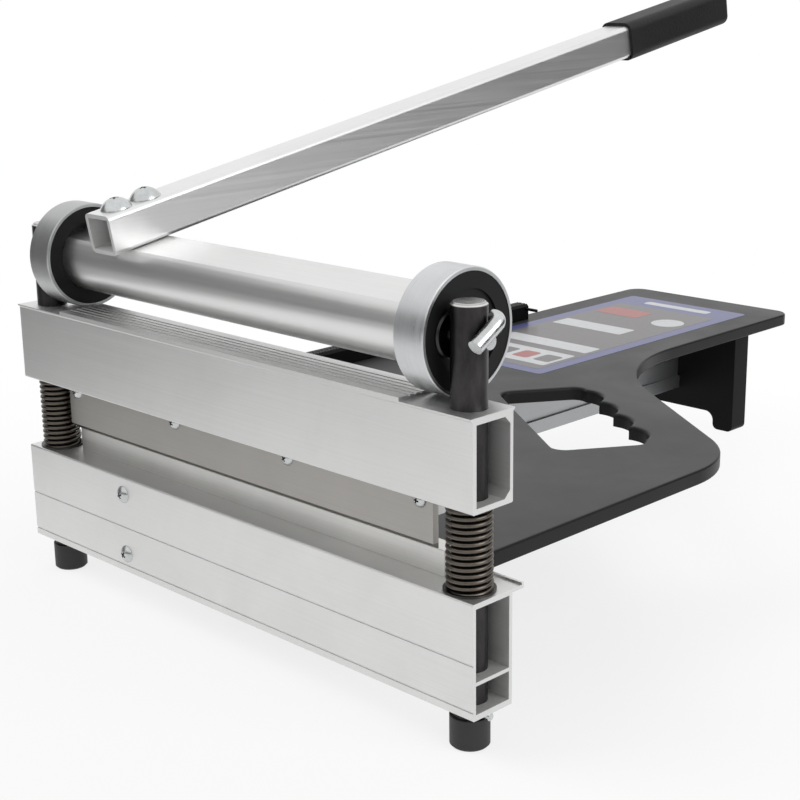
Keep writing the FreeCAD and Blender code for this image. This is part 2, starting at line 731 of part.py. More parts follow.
def makeLeverBolts():
    # Each bolt seats on the lever's upper face, whose place follows from the lever's pitch.
    high = size("tube_flat") + size("lever_width")
    tilt = "(sizes.lever_pitch * 1 deg)"
    for number, station in enumerate(("bolt_low", "bolt_high"), start=1):
        bolt = makeScrew("lever_bolt_%d" % number, size("bolt_diameter"), size("bolt_head"),
                         size("bolt_head_height"), high - size("bolt_depth"))
        placeOnCam(bolt, x=size("lever_station"))
        along = size(station).text
        bolt.setExpression("Placement.Base.y", "sizes.cam_back + %s * cos%s - %s * sin%s"
                           % (along, tilt, high.text, tilt))
        bolt.setExpression("Placement.Base.z", "%s + %s * sin%s + %s * cos%s"
                           % ((camHeight - lowerTop).text, along, tilt, high.text, tilt))


def makeGrip():
    body = newBody("grip")
    placeOnCam(body, x=size("lever_station"))
    half = size("grip_width") / 2
    centre = size("tube_flat") + size("lever_width") / 2
    end = size("lever_back") + size("grip_end")
    profile = newSketch(body, "XZ_Plane", offset=-size("grip_start"))
    drawBlock(profile, -half, centre - half, half, centre + half)
    pad(body, profile, end - size("grip_start"), back=True)
    dress(body, "Fillet", lambda edge: runsAlong(edge, yAxis), Radius=size("grip_corner"))

    def onEnd(edge):
        return near(edge.BoundBox.YMin, end, 0.1) and near(edge.BoundBox.YMax, end, 0.1)

    dress(body, "Fillet", onEnd, Radius=size("grip_end_corner"))
    bore = newSketch(body, "XZ_Plane", offset=-size("grip_start"))
    inner = size("lever_width") / 2
    drawBlock(bore, -inner, centre - inner, inner, centre + inner)
    pocket(body, bore, size("lever_back") - size("grip_start"))


# Table, its rail, leg, fence and screws.

def makeTable():
    body = newBody("table_top", z=lowerTop)
    front = size("anvil_back") + size("table_gap")
    right = size("table_right")
    left = -size("table_left")
    neck = -size("table_neck")
    far = size("table_far")
    outline = newSketch(body, "XY_Plane")
    drawOutline(outline, [(left, front), (right, front), (right, size("shoulder_height")),
                          (neck, size("shoulder_fall")), (neck, far), (left, far)])
    pad(body, outline, size("table_thickness"))
    rounds = (("shoulder_round", right, size("shoulder_height")),
              ("neck_round", neck, size("shoulder_fall")),
              ("table_round", neck, far), ("table_round", left, far))
    for amount, x, y in rounds:
        dress(body, "Fillet", lambda edge: runsAlong(edge, zAxis) and passes(edge, x=x, y=y),
              Radius=size(amount))

    def onTopRim(edge):
        high = near(edge.BoundBox.ZMax, size("table_thickness"), 0.05)
        flat = near(edge.BoundBox.ZMin, size("table_thickness"), 0.05)
        return high and flat and not near(edge.BoundBox.YMax, front, 0.05)

    dress(body, "Fillet", onTopRim, Radius=size("table_edge"))
    cutHandHole(body)
    taps = newSketch(body, "XY_Plane")
    for side in (-1, 1):
        drawCircle(taps, legScrewMiddle[0] + size("leg_screw_pitch") / 2 * side, legScrewMiddle[1],
                   size("screw_diameter"))
    pocket(body, taps, size("table_tap"), back=True)
    slot = newSketch(body, "YZ_Plane")
    lipEnd = size("beam_depth") / 2 + size("lip_reach")
    room = size("face_gap")
    drawBlock(slot, lipEnd - size("lip_bead_width") - room, zero, lipEnd + room,
              size("lip_bead") + room)
    pocket(body, slot, both=True)


def cutHandHole(body):
    # A slanted hole with rounded corners, whose far side has a wave for the fingers.
    half = size("hand_length") / 2
    reach = size("hand_depth") / 2

    def slanted():
        sketch = newSketch(body, "XY_Plane")
        turned = FreeCAD.Rotation(zAxis, size("hand_turn").number)
        sketch.AttachmentOffset = FreeCAD.Placement(Vector(0, 0, 0), turned)
        sketch.setExpression("AttachmentOffset.Base.x", size("hand_x").text)
        sketch.setExpression("AttachmentOffset.Base.y", size("hand_y").text)
        sketch.setExpression("AttachmentOffset.Rotation.Angle", size("hand_turn").text)
        return sketch

    hole = slanted()
    drawBlock(hole, -half, -reach, half, reach)
    pocket(body, hole, back=True)
    turned = FreeCAD.Placement(Vector(size("hand_x").number, size("hand_y").number, 0),
                               FreeCAD.Rotation(zAxis, size("hand_turn").number)).inverse()

    def onCorner(edge):
        local = turned.multVec(edge.CenterOfMass)
        upright = runsAlong(edge, zAxis)
        return upright and near(abs(local.x), half) and near(abs(local.y), reach)

    dress(body, "Fillet", onCorner, Radius=size("hand_corner"))
    finger = slanted()
    first = -(size("finger_pitch") * (count("finger_count") - 1) / 2)
    centre = reach + size("finger_rise") - size("finger_radius")
    drawCircle(finger, first, centre, size("finger_radius") * 2)
    notch = pocket(body, finger, back=True)
    wave = body.newObject("PartDesign::LinearPattern", "finger_wave")
    wave.Originals = [notch]
    wave.Direction = (finger, ["H_Axis"])
    wave.Occurrences = count("finger_count")
    bind(wave, Length=size("finger_pitch") * (count("finger_count") - 1))
    body.Tip = wave
    doc.recompute()


def makeRail():
    # An extruded box with a foot along one side and two screw ports inside.
    start = size("beam_depth") / 2
    body = newBody("table_rail", x=-size("rail_station"), y=start)
    half = size("rail_width") / 2
    low = size("rail_bottom")
    foot = half + size("rail_foot_reach")
    profile = newSketch(body, "XZ_Plane")
    drawOutline(profile, [(-half, low), (foot, low), (foot, low + size("rail_foot")),
                          (half, low + size("rail_foot")), (half, lowerTop), (-half, lowerTop)])
    wall = size("rail_wall")
    port = size("port_diameter") / 2
    core = size("screw_low") + port
    ceiling = size("screw_high") - port
    drawBlock(profile, -half + wall, core, half - wall, ceiling)
    for height in screwHeights.values():
        drawCircle(profile, zero, height, size("screw_diameter"))
    pad(body, profile, size("leg_start") - start, back=True)
    notch = newSketch(body, "XZ_Plane")
    room = size("face_gap")
    drawBlock(notch, -half - 1, lowerTop - size("lip_thickness") - room, half + 1, lowerTop + 1)
    pocket(body, notch, size("lip_reach") + room)


def makeLeg():
    body = newBody("table_leg", x=-size("leg_middle"), y=size("leg_start"))
    half = size("leg_width") / 2
    foot = half - size("leg_foot")
    arch = size("leg_arch")
    profile = newSketch(body, "XZ_Plane")
    drawOutline(profile, [(-half, zero), (-foot, zero), (-foot, arch), (foot, arch),
                          (foot, zero), (half, zero), (half, lowerTop), (-half, lowerTop)])
    pad(body, profile, size("leg_depth"), back=True)

    def onArch(edge):
        return runsAlong(edge, yAxis) and near(edge.CenterOfMass.z, arch)

    def onFoot(edge):
        return runsAlong(edge, yAxis) and near(edge.CenterOfMass.z, zero)

    dress(body, "Fillet", onArch, Radius=size("leg_arch_round"))
    dress(body, "Fillet", onFoot, Radius=size("leg_round"))
    wall = size("leg_wall")
    rib = size("leg_rib") / 2
    hollow = newSketch(body, "XZ_Plane", offset=-wall)
    roof = lowerTop - wall
    floor = arch + wall
    bay = size("leg_screw_pitch") / 3
    drawBlock(hollow, -half + wall, floor, -bay - rib, roof)
    drawBlock(hollow, -bay + rib, floor, bay - rib, roof)
    drawBlock(hollow, bay + rib, floor, half - wall, roof)
    pocket(body, hollow, size("leg_depth") - wall)
    holes = newSketch(body, "XZ_Plane")
    shift = size("leg_middle") - size("rail_station")
    for height in screwHeights.values():
        drawCircle(holes, shift, height, size("screw_diameter"))
    pocket(body, holes, wall * 2)
    taps = newSketch(body, "XY_Plane", offset=lowerTop)
    for side in (-1, 1):
        drawCircle(taps, size("leg_screw_pitch") / 2 * side, size("leg_depth") / 2,
                   size("screw_diameter"))
    pocket(body, taps, wall * 2)


def makeFrameScrews():
    # Two screws clamp the beam to the rail, two the leg to the rail and two the leg to the table.
    wall = size("leg_wall")
    for name, height in screwHeights.items():
        makeScrew("beam_screw_" + name, size("screw_diameter"), size("screw_head"),
                  size("screw_head_height"), size("beam_depth") + size("screw_grip"),
                  x=-size("rail_station"), y=-size("beam_depth") / 2, z=height,
                  axis=xAxis, angle=90)
        makeScrew("leg_screw_" + name, size("screw_diameter"), size("screw_head"),
                  size("screw_head_height"), wall + size("screw_grip"),
                  x=-size("rail_station"), y=size("leg_start") + wall, z=height,
                  axis=xAxis, angle=-90)
    for name, side in (("left", -1), ("right", 1)):
        makeScrew("table_screw_" + name, size("screw_diameter"), size("screw_head"),
                  size("screw_head_height"), wall + size("table_tap"),
                  x=legScrewMiddle[0] + size("leg_screw_pitch") / 2 * side,
                  y=legScrewMiddle[1], z=lowerTop - wall,
                  axis=xAxis, angle=180)


def makeFence():
    tableTop = lowerTop + size("table_thickness")
    left = -size("table_left") + size("fence_inset")
    body = newBody("fence", x=left + size("fence_width") / 2, y=size("fence_start"), z=tableTop)
    half = size("fence_width") / 2
    tall = size("fence_height")
    low = tall - size("fence_groove_depth")
    corner = size("fence_corner")
    outline = [(half, zero), (half, tall - corner), (half - corner, tall)]
    span = size("fence_groove_pitch") * (count("fence_groove_count") - 1)
    for number in reversed(range(count("fence_groove_count"))):
        centre = size("fence_groove_pitch") * number - span / 2
        side = size("fence_groove") / 2
        outline += [(centre + side, tall), (centre + side / 2, low), (centre - side / 2, low),
                    (centre - side, tall)]
    outline += [(-half + corner, tall), (-half, tall - corner), (-half, zero)]
    profile = newSketch(body, "XZ_Plane")
    drawOutline(profile, outline)
    pad(body, profile, size("fence_length"), back=True)


def makePointer():
    start = -size("table_left") + size("fence_inset") + size("fence_width")
    y = size("fence_start") + size("fence_length") - size("pointer_inset")
    z = size("table_thickness") + size("pointer_height")
    rod = cylinder("fence_pointer_rod", size("pointer_diameter"), size("pointer_length"), start,
                   y=y, z=z)
    keep(rod, "fence_pointer")


makeLowerBeam()
makeAnvil()
makeRam()
makeBlade()
makeHolder()
makeBladeScrews()
makeHolderScrews()
for end, side in (("near", 1), ("far", -1)):
    makePost(end + "_post", side)
    makeFootCap(end + "_foot_cap", side)
    makeCrossPin(end + "_cross_pin", side)
    makeWasher(end + "_spring_washer", side)
    makeSpring(end + "_spring", side)
    makeRing(end + "_ring", side)
    makeDisc(end + "_disc", side)
    makeHub(end + "_hub", side)
makeNearPin()
makeFarPin()
makeTube()
makeLever()
makeLeverBolts()
makeGrip()
makeTable()
makeRail()
makeLeg()
makeFrameScrews()
makeFence()
makePointer()
doc.recompute()

for item in doc.Objects:
    if "Invalid" in item.State or "Error" in item.State:
        raise RuntimeError("%s did not build: %s" % (item.Name, item.State))
for node in nodes:
    if node.Shape.isNull() or not node.Shape.isValid() or not node.Shape.Solids:
        raise RuntimeError("%s has no valid solid" % node.Label)

os.makedirs("parts", exist_ok=True)
for node in nodes:
    node.Shape.exportStep(os.path.join("parts", node.Label + ".step"))
    print("%-20s %d solid, %.0f mm3" % (node.Label, len(node.Shape.Solids), node.Shape.Volume))
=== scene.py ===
import json
import math

import bpy
from mathutils import Matrix, Vector

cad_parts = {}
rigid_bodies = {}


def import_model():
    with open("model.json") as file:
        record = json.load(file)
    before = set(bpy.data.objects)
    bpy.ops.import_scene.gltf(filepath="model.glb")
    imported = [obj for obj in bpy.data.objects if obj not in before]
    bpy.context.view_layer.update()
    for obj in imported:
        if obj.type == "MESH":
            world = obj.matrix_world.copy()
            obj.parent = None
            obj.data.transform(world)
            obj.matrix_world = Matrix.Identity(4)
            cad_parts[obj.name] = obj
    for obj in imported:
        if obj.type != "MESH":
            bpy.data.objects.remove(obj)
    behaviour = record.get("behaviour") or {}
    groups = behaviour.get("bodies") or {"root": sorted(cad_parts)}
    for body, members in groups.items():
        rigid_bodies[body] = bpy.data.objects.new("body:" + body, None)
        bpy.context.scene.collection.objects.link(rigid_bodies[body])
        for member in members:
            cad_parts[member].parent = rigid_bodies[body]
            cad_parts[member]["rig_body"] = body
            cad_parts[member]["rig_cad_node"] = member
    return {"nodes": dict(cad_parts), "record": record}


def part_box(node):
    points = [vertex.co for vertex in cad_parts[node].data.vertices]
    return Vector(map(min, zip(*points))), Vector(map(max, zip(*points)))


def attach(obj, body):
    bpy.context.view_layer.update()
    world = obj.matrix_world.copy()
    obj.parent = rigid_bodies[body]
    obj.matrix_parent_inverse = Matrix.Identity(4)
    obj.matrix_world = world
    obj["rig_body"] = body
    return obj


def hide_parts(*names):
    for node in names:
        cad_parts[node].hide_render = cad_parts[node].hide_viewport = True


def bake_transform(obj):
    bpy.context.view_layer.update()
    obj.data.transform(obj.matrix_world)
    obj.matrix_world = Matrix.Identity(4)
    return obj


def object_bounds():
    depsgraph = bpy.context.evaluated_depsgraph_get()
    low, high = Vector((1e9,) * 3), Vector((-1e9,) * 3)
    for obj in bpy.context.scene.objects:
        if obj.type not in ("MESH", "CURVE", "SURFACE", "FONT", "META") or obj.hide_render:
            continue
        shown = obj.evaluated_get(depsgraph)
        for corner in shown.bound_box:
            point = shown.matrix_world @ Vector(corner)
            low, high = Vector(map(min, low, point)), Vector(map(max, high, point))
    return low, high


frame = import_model()
cadBox = [list(corner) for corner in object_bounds()]
bodyOf = {node: body for body, nodes in frame["record"]["behaviour"]["bodies"].items()
          for node in nodes}
print("frame loaded,", len(frame["nodes"]), "nodes")


def takeUp(piece):
    # makes one piece the only selected and active one, in object mode
    if bpy.context.object and bpy.context.object.mode != "OBJECT":
        bpy.ops.object.mode_set(mode="OBJECT")
    bpy.ops.object.select_all(action="DESELECT")
    piece.select_set(True)
    bpy.context.view_layer.objects.active = piece


def editAll(piece):
    # edit mode with everything selected
    takeUp(piece)
    bpy.ops.object.mode_set(mode="EDIT")
    bpy.ops.mesh.select_all(action="SELECT")


def editNone(piece, kind):
    # edit mode for points, edges or faces, with nothing selected
    takeUp(piece)
    bpy.ops.object.mode_set(mode="EDIT")
    bpy.ops.mesh.select_mode(type=kind)
    bpy.ops.mesh.select_all(action="DESELECT")


def leaveEdit():
    bpy.ops.object.mode_set(mode="OBJECT")


def pickFaces(piece, wanted):
    # selects faces by their place or normal, and leaves edit mode open
    editNone(piece, "FACE")
    leaveEdit()
    for face in piece.data.polygons:
        face.select = wanted(face)
    bpy.ops.object.mode_set(mode="EDIT")


def pickEdges(piece, wanted, sharpness=None):
    # the test gets the two ends of each edge, and a sharpness leaves the flatter edges out
    editNone(piece, "EDGE")
    if sharpness:
        bpy.ops.mesh.edges_select_sharp(sharpness=math.radians(sharpness))
    leaveEdit()
    points = piece.data.vertices
    for edge in piece.data.edges:
        first, second = (points[number].co for number in edge.vertices)
        edge.select = (edge.select or not sharpness) and wanted(first, second)
    bpy.ops.object.mode_set(mode="EDIT")


def settle(piece):
    # the place goes into the mesh, and the object stays at the origin
    takeUp(piece)
    bpy.ops.object.transform_apply(location=True, rotation=True, scale=True)


def applyAll(piece):
    takeUp(piece)
    for modifier in list(piece.modifiers):
        bpy.ops.object.modifier_apply(modifier=modifier.name)


def smooth(piece, degrees):
    takeUp(piece)
    bpy.ops.object.shade_smooth_by_angle(angle=math.radians(degrees))


def finishPiece(piece, name, like, finish, standIn=False):
    # the piece moves and is listed like a CAD node, and may be shown instead of it
    piece.name = name
    piece.data.name = name
    piece.data.materials.clear()
    piece.data.materials.append(finish)
    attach(piece, bodyOf[like])
    if standIn:
        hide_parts(like)


def middleOf(node):
    low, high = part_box(node)
    return (low + high) / 2


def aimFrom(place, aim):
    return (Vector(aim) - Vector(place)).to_track_quat("-Z", "Y").to_euler()


# camera: turned by its yaw, tipped down by its pitch, then rolled
camera = {"place": (0.696, -0.552, 0.3093), "yaw": 45.305, "pitch": 15.508, "roll": -0.802,
          "lens": 70.56, "sensor": 36, "farEnd": 60}
yaw, pitch, roll = (math.radians(camera[key]) for key in ("yaw", "pitch", "roll"))
ahead = Vector((-math.sin(yaw) * math.cos(pitch), math.cos(yaw) * math.cos(pitch),
                -math.sin(pitch)))
level = ahead.cross(Vector((0, 0, 1))).normalized()
upright = level.cross(ahead)
right = math.cos(roll) * level + math.sin(roll) * upright
up = -math.sin(roll) * level + math.cos(roll) * upright
turned = Matrix((right, up, -ahead)).transposed().to_4x4()
bpy.ops.object.camera_add()
cameraObject = bpy.context.object
cameraObject.data.lens = camera["lens"]
cameraObject.data.sensor_width = camera["sensor"]
cameraObject.data.clip_end = camera["farEnd"]
cameraObject.matrix_world = Matrix.Translation(camera["place"]) @ turned
bpy.context.scene.camera = cameraObject
bpy.context.scene.view_settings.view_transform = "Standard"

lamps = {
    # name: (place, aimed at, width, height, watts, seen in reflections)
    "keyLamp": ((-1.1, -0.9, 1.9), (0.0, 0.1, 0.05), 1.5, 1.5, 24, False),
    "sideLamp": ((1.9, 0.5, 1.1), (0.0, 0.15, 0.05), 1.2, 1.6, 15, True),
    "backLamp": ((-0.4, 2.3, 1.5), (0.0, 0.2, 0.1), 2.0, 1.0, 10, False),
}
for name, (place, aim, width, height, watts, reflected) in lamps.items():
    bpy.ops.object.light_add(type="AREA", location=place)
    lamp = bpy.context.object
    lamp.name = name
    lamp.data.shape = "RECTANGLE"
    lamp.data.size = width
    lamp.data.size_y = height
    lamp.data.energy = watts
    lamp.visible_glossy = reflected
    lamp.rotation_euler = aimFrom(place, aim)


def link(owner, start, output, end, entry):
    owner.node_tree.links.new(start.outputs[output], end.inputs[entry])


def addNode(owner, kind, **values):
    # a shader node, with its settings and unlinked inputs given by name
    node = owner.node_tree.nodes.new(kind)
    for name, value in values.items():
        if hasattr(node, name):
            setattr(node, name, value)
        else:
            node.inputs[name].default_value = value
    return node


def rangeOf(material, source, output, low, high, toLow, toHigh):
    node = addNode(material, "ShaderNodeMapRange", **{"From Min": low, "From Max": high,
                                                      "To Min": toLow, "To Max": toHigh})
    link(material, source, output, node, "Value")
    return node


def seenRays(owner):
    # one for camera, glossy and transmission rays, and nothing for diffuse ones
    rays = addNode(owner, "ShaderNodeLightPath")
    reflected = addNode(owner, "ShaderNodeMath", operation="MAXIMUM")
    seen = addNode(owner, "ShaderNodeMath", operation="MAXIMUM")
    link(owner, rays, "Is Camera Ray", reflected, 0)
    link(owner, rays, "Is Glossy Ray", reflected, 1)
    link(owner, reflected, 0, seen, 0)
    link(owner, rays, "Is Transmission Ray", seen, 1)
    return seen


def blankMaterial(name):
    material = bpy.data.materials.new(name)
    material.use_nodes = True
    material.node_tree.nodes.clear()
    return material


# the room is white where it is seen, and lights the object more softly
studio = {"lightStrength": 0.42, "seenStrength": 1.0, "colour": (1, 1, 1, 1)}
world = bpy.data.worlds.new("studio")
bpy.context.scene.world = world
world.use_nodes = True
world.node_tree.nodes.clear()
soft = addNode(world, "ShaderNodeBackground", Color=studio["colour"],
               Strength=studio["lightStrength"])
plain = addNode(world, "ShaderNodeBackground", Color=studio["colour"],
                Strength=studio["seenStrength"])
worldMix = addNode(world, "ShaderNodeMixShader")
worldOut = addNode(world, "ShaderNodeOutputWorld")
link(world, seenRays(world), 0, worldMix, 0)
link(world, soft, 0, worldMix, 1)
link(world, plain, 0, worldMix, 2)
link(world, worldMix, 0, worldOut, 0)

# the floor is partly matt near the object, where it holds the shadow, and fades to plain white
floorLook = {"size": 40, "colour": (0.94, 0.94, 0.945, 1), "glow": (1, 1, 1, 1), "fadeFrom": 0.24,
             "fadeTo": 0.75, "glowNear": 0.78, "glowFar": 1.0}
floorHeight = cadBox[0][2]
bpy.ops.mesh.primitive_plane_add(size=floorLook["size"], location=(0, 0, floorHeight))
floor = bpy.context.object
floor.name = "floor"
settle(floor)
floorPaint = blankMaterial("floorPaint")
matt = addNode(floorPaint, "ShaderNodeBsdfDiffuse", Color=floorLook["colour"])
glow = addNode(floorPaint, "ShaderNodeEmission", Color=floorLook["glow"], Strength=1.0)
spot = addNode(floorPaint, "ShaderNodeTexCoord")
away = addNode(floorPaint, "ShaderNodeVectorMath", operation="LENGTH")
link(floorPaint, spot, "Object", away, 0)
fade = rangeOf(floorPaint, away, "Value", floorLook["fadeFrom"], floorLook["fadeTo"],
               floorLook["glowNear"], floorLook["glowFar"])
floorShare = addNode(floorPaint, "ShaderNodeMath", operation="MULTIPLY")
link(floorPaint, fade, "Result", floorShare, 0)
link(floorPaint, seenRays(floorPaint), 0, floorShare, 1)
floorMix = addNode(floorPaint, "ShaderNodeMixShader")
floorOut = addNode(floorPaint, "ShaderNodeOutputMaterial")
link(floorPaint, floorShare, 0, floorMix, 0)
link(floorPaint, matt, 0, floorMix, 1)
link(floorPaint, glow, 0, floorMix, 2)
link(floorPaint, floorMix, 0, floorOut, 0)
floor.data.materials.append(floorPaint)

# dark cards that only reflections see, so that round metal gets a dark band
cards = {
    # name: (place, aimed at, width, height, brightness)
    "frontCard": ((0.5, -2.2, 0.47), (0.0, 0.0, 0.1), 3.2, 0.86, 0.17),
    "cornerCard": ((2.1, -1.6, 0.46), (0.0, 0.0, 0.1), 1.4, 0.80, 0.15),
    "leftCard": ((-0.84, -0.72, 0.30), (0.3, -0.60, 0.30), 1.35, 0.70, 0.20),
    "rightCard": ((0.90, 1.20, 0.22), (0.0, 0.3, 0.1), 1.8, 0.62, 0.08),
    "lowCard": ((-0.86, -0.56, floorHeight + 0.001), (-0.86, -0.56, 1.0), 0.80, 0.86, 0.40),
}
for name, (place, aim, width, height, shade) in cards.items():
    cardPaint = blankMaterial(name + "Paint")
    cardGlow = addNode(cardPaint, "ShaderNodeEmission", Color=(shade, shade, shade, 1),
                       Strength=1.0)
    cardOut = addNode(cardPaint, "ShaderNodeOutputMaterial")
    link(cardPaint, cardGlow, 0, cardOut, 0)
    bpy.ops.mesh.primitive_plane_add(size=1, location=place)
    card = bpy.context.object
    card.name = name
    card.scale = (width, height, 1)
    card.rotation_euler = aimFrom(place, aim)
    settle(card)
    card.data.materials.append(cardPaint)
    card.visible_camera = False
    card.visible_diffuse = False
    card.visible_shadow = False
print("camera, lamps and floor ready")


# finishes: a plain shader each, whose patterns lie in object coordinates
def newFinish(name, colour, metallic, roughness, specular=0.5):
    material = bpy.data.materials.new(name)
    material.use_nodes = True
    shader = material.node_tree.nodes["Principled BSDF"]
    shader.inputs["Base Color"].default_value = (*colour, 1)
    shader.inputs["Metallic"].default_value = metallic
    shader.inputs["Roughness"].default_value = roughness
    shader.inputs["Specular IOR Level"].default_value = specular
    return material, shader


def placeOn(material, turn=(0, 0, 0), scale=(1, 1, 1), shift=(0, 0, 0)):
    # object coordinates, shifted, turned and scaled
    spot = addNode(material, "ShaderNodeTexCoord")
    mapping = addNode(material, "ShaderNodeMapping", Location=shift, Scale=scale,
                      Rotation=[math.radians(value) for value in turn])
    link(material, spot, "Object", mapping, "Vector")
    return mapping


def noiseOn(material, mapping, size, detail=4, rough=0.55, warp=0.0):
    noise = addNode(material, "ShaderNodeTexNoise", Scale=size, Detail=detail, Roughness=rough,
                    Distortion=warp)
    link(material, mapping, "Vector", noise, "Vector")
    return noise


def rampOf(material, source, output, stops):
    ramp = addNode(material, "ShaderNodeValToRGB")
    elements = ramp.color_ramp.elements
    while len(elements) < len(stops):
        elements.new(0.5)
    for element, (position, colour) in zip(elements, stops):
        element.position = position
        element.color = (*colour, 1)
    link(material, source, output, ramp, "Fac")
    return ramp


def mixOf(material, kind, factor, first, second):
    # the factor and both colours are a (node, output) pair or a plain value; a colour mix
    # takes them at inputs 0, 6 and 7 and gives its result at output 2
    mix = addNode(material, "ShaderNodeMix", data_type="RGBA", blend_type=kind)
    for value, entry in ((factor, 0), (first, 6), (second, 7)):
        if isinstance(value, tuple) and isinstance(value[0], bpy.types.Node):
            link(material, *value, mix, entry)
        elif entry == 0:
            mix.inputs[entry].default_value = value
        else:
            mix.inputs[entry].default_value = (*value, 1)
    return mix


def heightOn(material):
    # the height in object coordinates, as the node and output that give it
    spot = addNode(material, "ShaderNodeTexCoord")
    parts = addNode(material, "ShaderNodeSeparateXYZ")
    link(material, spot, "Object", parts, "Vector")
    return parts, "Z"


def bumpOn(material, shader, source, output, strength, depth):
    bump = addNode(material, "ShaderNodeBump", Strength=strength, Distance=depth)
    link(material, source, output, bump, "Height")
    link(material, bump, "Normal", shader, "Normal")


lineGrain = {"detail": 5, "rough": 0.62, "depth": 0.00008, "lift": 0.3, "cloudSize": 17,
             "cloudRough": 0.6, "cloudWarp": 0.6}


def drawnParts(name, colour, roughness, lines, turn=(0, 0, 0), streak=0.10, cloud=0.07,
               metallic=1.0, bump=0.12, spread=0.1):
    # rolled or extruded metal: fine lines one way, faint clouds and some wear in the sheen
    material, shader = newFinish(name, colour, metallic, roughness)
    fine = noiseOn(material, placeOn(material, turn, lines), 1.0, lineGrain["detail"],
                   lineGrain["rough"])
    clouds = noiseOn(material, placeOn(material), lineGrain["cloudSize"],
                     rough=lineGrain["cloudRough"], warp=lineGrain["cloudWarp"])
    tone = rampOf(material, fine, "Fac", [(0.25, (1 - streak,) * 3),
                                          (0.75, (1 + streak * lineGrain["lift"],) * 3)])
    haze = rampOf(material, clouds, "Fac", [(0.3, (1 - cloud,) * 3), (0.7, (1, 1, 1))])
    lined = mixOf(material, "MULTIPLY", 1.0, colour, (tone, "Color"))
    whole = mixOf(material, "MULTIPLY", 1.0, (lined, 2), (haze, "Color"))
    link(material, whole, 2, shader, "Base Color")
    sheen = rangeOf(material, fine, "Fac", 0.2, 0.8, roughness - spread / 2, roughness + spread)
    link(material, sheen, "Result", shader, "Roughness")
    bumpOn(material, shader, fine, "Fac", bump, lineGrain["depth"])
    return material, shader, whole


def drawnMetal(*values, **settings):
    # the finish alone, where nothing more is linked to its shader
    return drawnParts(*values, **settings)[0]


leverPitch = 10.4   # degrees that the lever rises at rest

# name, colour, roughness and the lines' scale along X, Y and Z, then what isn't as usual
beamMetal = drawnMetal("millAluminium", (0.80, 0.80, 0.792), 0.40, (5, 850, 850), streak=0.06,
                       cloud=0.06, bump=0.08)
holderMetal = drawnMetal("holderAluminium", (0.66, 0.66, 0.65), 0.45, (4, 700, 700))
tubeMetal = drawnMetal("satinTube", (0.79, 0.79, 0.785), 0.31, (6, 500, 500), streak=0.05,
                       cloud=0.04, bump=0.05, spread=0.06)
leverMetal = drawnMetal("satinLever", (0.83, 0.835, 0.83), 0.34, (900, 6, 900),
                        turn=(-leverPitch, 0, 0), streak=0.05, cloud=0.05, bump=0.06,
                        spread=0.08)
anvilMetal = drawnMetal("groundAnvil", (0.74, 0.735, 0.715), 0.38, (5, 700, 900))
railMetal = drawnMetal("railAluminium", (0.46, 0.47, 0.48), 0.40, (800, 5, 800))
zincMetal = drawnMetal("brightZinc", (0.66, 0.68, 0.68), 0.22, (260, 260, 260), streak=0.18,
                       cloud=0.12, bump=0.2, spread=0.16)
springMetal = drawnMetal("temperedWire", (0.155, 0.135, 0.115), 0.30, (700, 700, 300),
                         streak=0.25, cloud=0.25, bump=0.06, spread=0.12)
hubMetal = drawnMetal("turnedHub", (0.055, 0.053, 0.052), 0.30, (1400, 90, 90), streak=0.2)
ringMetal = drawnMetal("turnedRing", (0.71, 0.72, 0.73), 0.30, (1500, 40, 40), streak=0.12,
                       cloud=0.16, bump=0.15, spread=0.14)
# the far ring is a darker copy of the same turned ring: painted shade
shadedRingMetal = drawnMetal("dullRing", (0.56, 0.565, 0.57), 0.33, (1500, 40, 40), streak=0.14,
                           cloud=0.20, bump=0.15, spread=0.14)
# a darker copy of the zinc for the screws' cross recesses: painted shade in the recess
recessShadeMetal = drawnMetal("recessShade", (0.20, 0.205, 0.21), 0.45, (260, 260, 260), streak=0.2)
# a duller, less metallic copy of the lever's aluminium for its inside: painted shade
leverBoreShade = drawnMetal("boreAluminium", (0.80, 0.80, 0.79), 0.55, (900, 6, 900),
                       turn=(-leverPitch, 0, 0), metallic=0.6)
# a darker, less metallic copy of the beams' aluminium for their insides: painted shade
beamBore = drawnMetal("beamBore", (0.70, 0.70, 0.69), 0.55, (5, 700, 700), metallic=0.6)

# the blade is ground along its length; near the cutting edge its colour holds painted light: a
# bright line on the edge is a painted highlight, and the darker band above it is painted shade
bladeLook = {"colour": (0.47, 0.455, 0.43), "roughness": 0.44, "lines": (4, 1200, 1200),
             "streak": 0.12, "stripHigh": 0.010,
             "paintedEdgeLight": [(0.0, (1.25, 1.25, 1.25)), (0.05, (0.42, 0.42, 0.42)),
                       (0.31, (0.50, 0.49, 0.48)), (0.335, (1.0, 1.0, 1.0))]}
bladeMetal, bladeShader, bladeTone = drawnParts("groundBlade", bladeLook["colour"],
                                                bladeLook["roughness"], bladeLook["lines"],
                                                streak=bladeLook["streak"])
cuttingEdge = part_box("blade")[0].z
inStrip = rangeOf(bladeMetal, *heightOn(bladeMetal), cuttingEdge,
                  cuttingEdge + bladeLook["stripHigh"], 0, 1)
# painted highlight along the cutting edge, and painted shade in the band above it
paintedEdgeLight = rampOf(bladeMetal, inStrip, "Result", bladeLook["paintedEdgeLight"])
stripMix = mixOf(bladeMetal, "MULTIPLY", 1.0, (bladeTone, 2), (paintedEdgeLight, "Color"))
link(bladeMetal, stripMix, 2, bladeShader, "Base Color")

# the posts are dark oiled steel with bright turned tops
postLook = {"colour": (0.062, 0.058, 0.059), "roughness": 0.33, "lines": (160, 160, 60),
            "streak": 0.50, "cloud": 0.45, "metallic": 0.9, "topFrom": 0.0017,
            "topTo": 0.0012, "rings": 260, "ringWarp": 1.0, "ringDark": (0.42, 0.42, 0.42),
            "ringLight": (0.74, 0.73, 0.72)}


